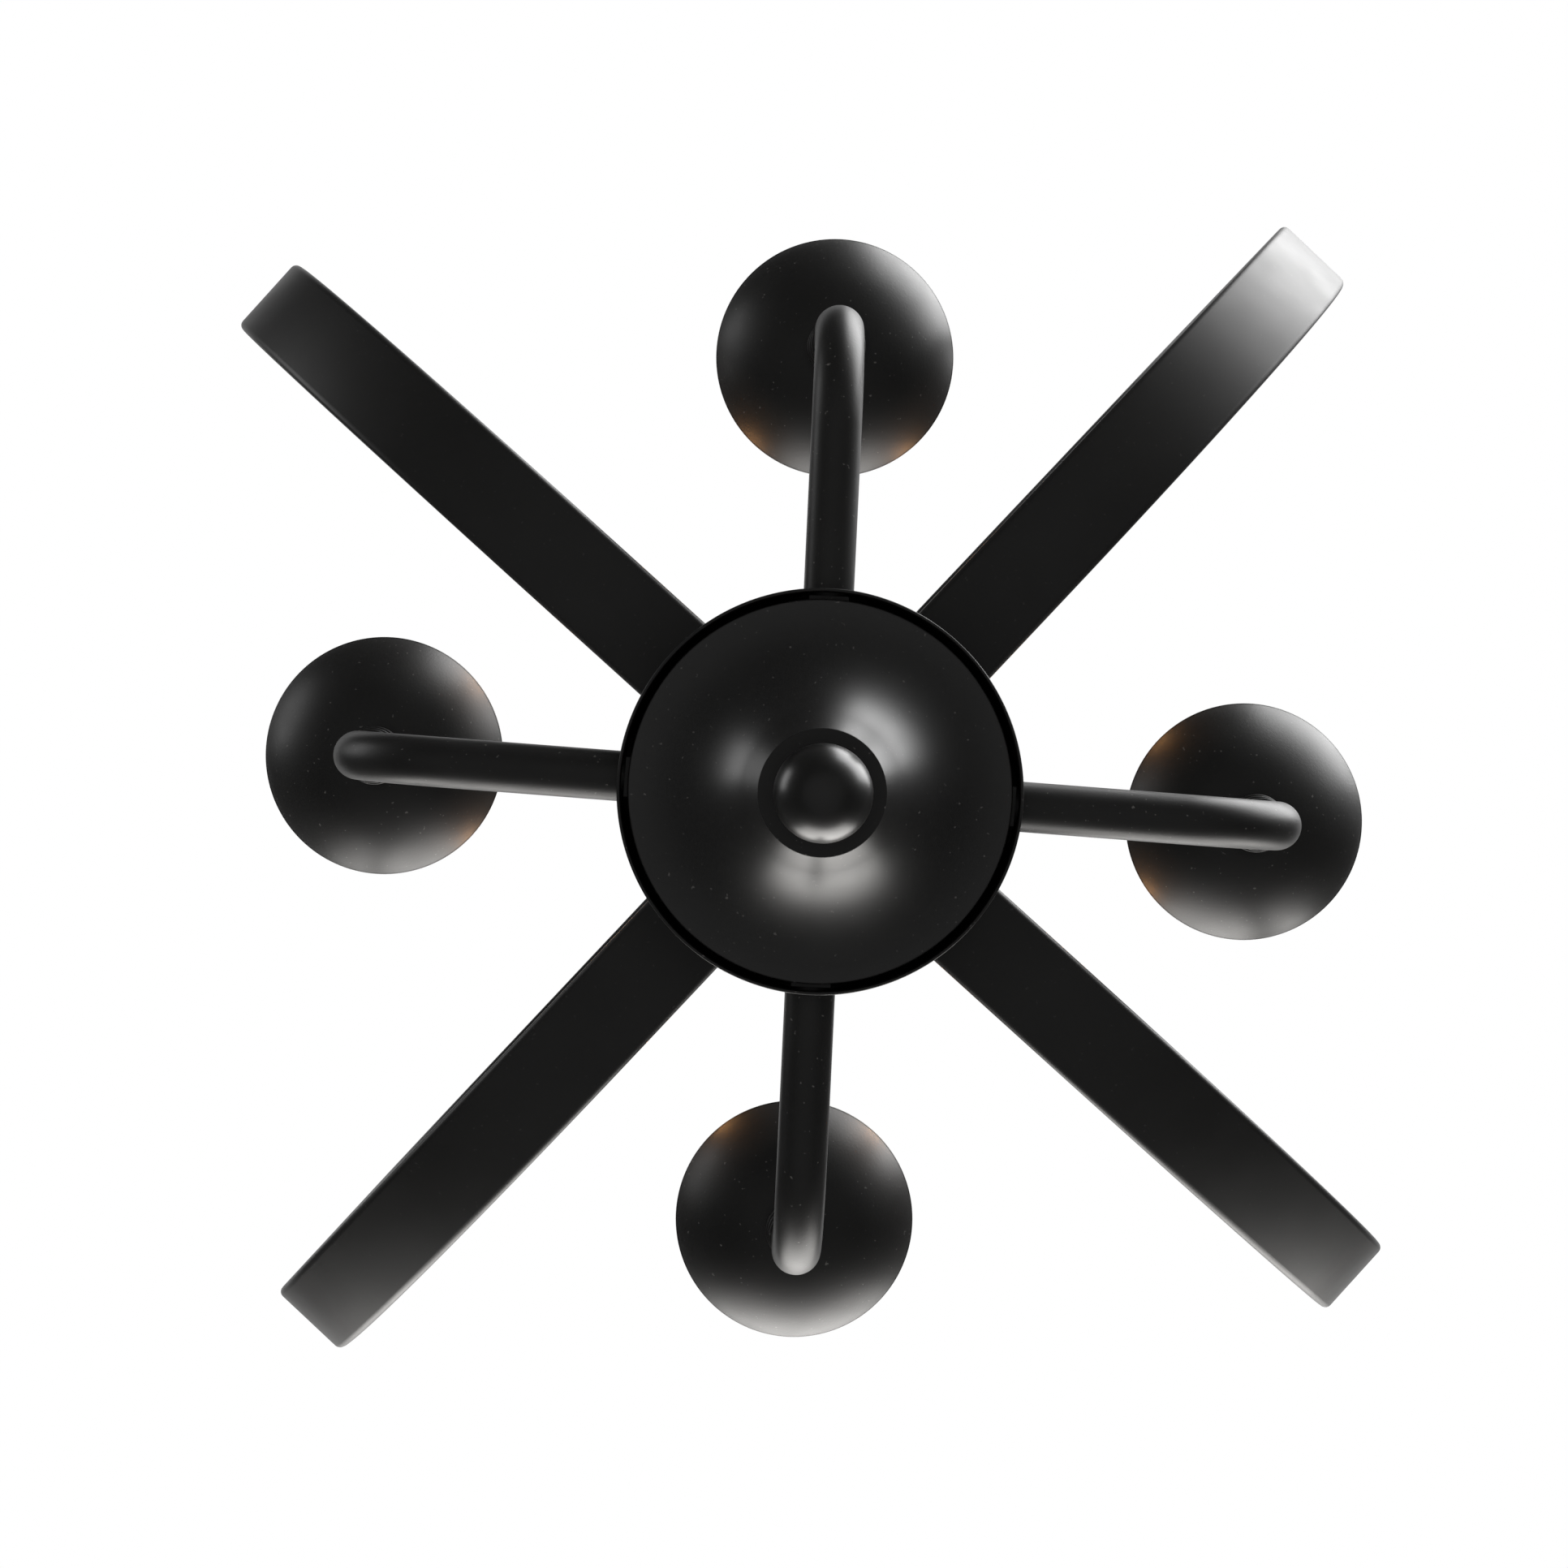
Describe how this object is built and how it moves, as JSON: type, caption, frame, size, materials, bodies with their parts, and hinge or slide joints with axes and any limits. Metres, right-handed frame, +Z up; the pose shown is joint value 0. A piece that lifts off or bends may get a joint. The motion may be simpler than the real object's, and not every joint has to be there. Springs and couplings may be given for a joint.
{
  "type": "cage pendant light",
  "caption": "Black metal pendant light: flat bars bent into an open cage round a cluster of upturned candle arms with round cups, on a rigid stem that swivels under a ceiling canopy.",
  "frame": {"origin": "centre of the crossbar's upper face, in the ceiling plane on the light's axis", "axes": "+Z up into the ceiling, the light hangs down -Z; +X along the crossbar; seen from below with +X to the right, +Y points down"},
  "size_m": [0.341, 0.3354, 1.0998],
  "materials": {
    "black_metal": "satin",
    "zinc_steel": "satin",
    "green_screw": "satin",
    "holder_plastic": "matte",
    "block_plastic": "matte",
    "base_metal": "satin",
    "bulb_glass": "clear",
    "filament": "matte"
  },
  "bodies": {
    "ceiling_mount": {"crossbar": "zinc_steel", "ground_screw": "green_screw", "canopy": "black_metal", "canopy_studs": "zinc_steel", "canopy_cap_nuts": "black_metal", "swivel_seat": "black_metal"},
    "cross_pin": {"swivel_pin": "zinc_steel"},
    "hanging_light": {"arm_1": "black_metal", "arm_2": "black_metal", "arm_3": "black_metal", "arm_4": "black_metal", "arm_collars": "black_metal", "arm_lock_nuts": "black_metal", "ball_finial": "black_metal", "bell_cover": "black_metal", "bottom_bar_screws": "black_metal", "bottom_plate": "black_metal", "bulb_base_1": "base_metal", "bulb_base_2": "base_metal", "bulb_base_3": "base_metal", "bulb_base_4": "base_metal", "bulb_filaments": "filament", "bulb_glass_1": "bulb_glass", "bulb_glass_2": "bulb_glass", "bulb_glass_3": "bulb_glass", "bulb_glass_4": "bulb_glass", "cage_bar_1": "black_metal", "cage_bar_2": "black_metal", "cage_bar_3": "black_metal", "cage_bar_4": "black_metal", "candle_sleeve_1": "black_metal", "candle_sleeve_2": "black_metal", "candle_sleeve_3": "black_metal", "candle_sleeve_4": "black_metal", "centre_column": "black_metal", "centre_pipe": "zinc_steel", "cluster_housing": "black_metal", "cup_1": "black_metal", "cup_2": "black_metal", "cup_3": "black_metal", "cup_4": "black_metal", "cup_nuts": "zinc_steel", "finial_flange": "black_metal", "lamp_nipples": "zinc_steel", "lampholder_1": "holder_plastic", "lampholder_2": "holder_plastic", "lampholder_3": "holder_plastic", "lampholder_4": "holder_plastic", "long_stem": "black_metal", "pipe_lock_nuts": "black_metal", "short_stem": "black_metal", "sleeve_plates": "black_metal", "stem_coupler": "black_metal", "swivel_ball": "black_metal", "terminal_block": "block_plastic", "top_bar_screws": "black_metal", "top_hub": "black_metal", "top_plate": "black_metal"}
  },
  "joints": [
    {"name": "swing_about_y", "type": "hinge", "parent": "ceiling_mount", "child": "cross_pin", "pos_m": [0, 0, -0.0197], "axis": [0, 1, 0], "range_deg": [-20, 20]},
    {"name": "swing_about_x", "type": "hinge", "parent": "cross_pin", "child": "hanging_light", "pos_m": [0, 0, -0.0197], "axis": [1, 0, 0], "range_deg": [-20, 20]}
  ]
}
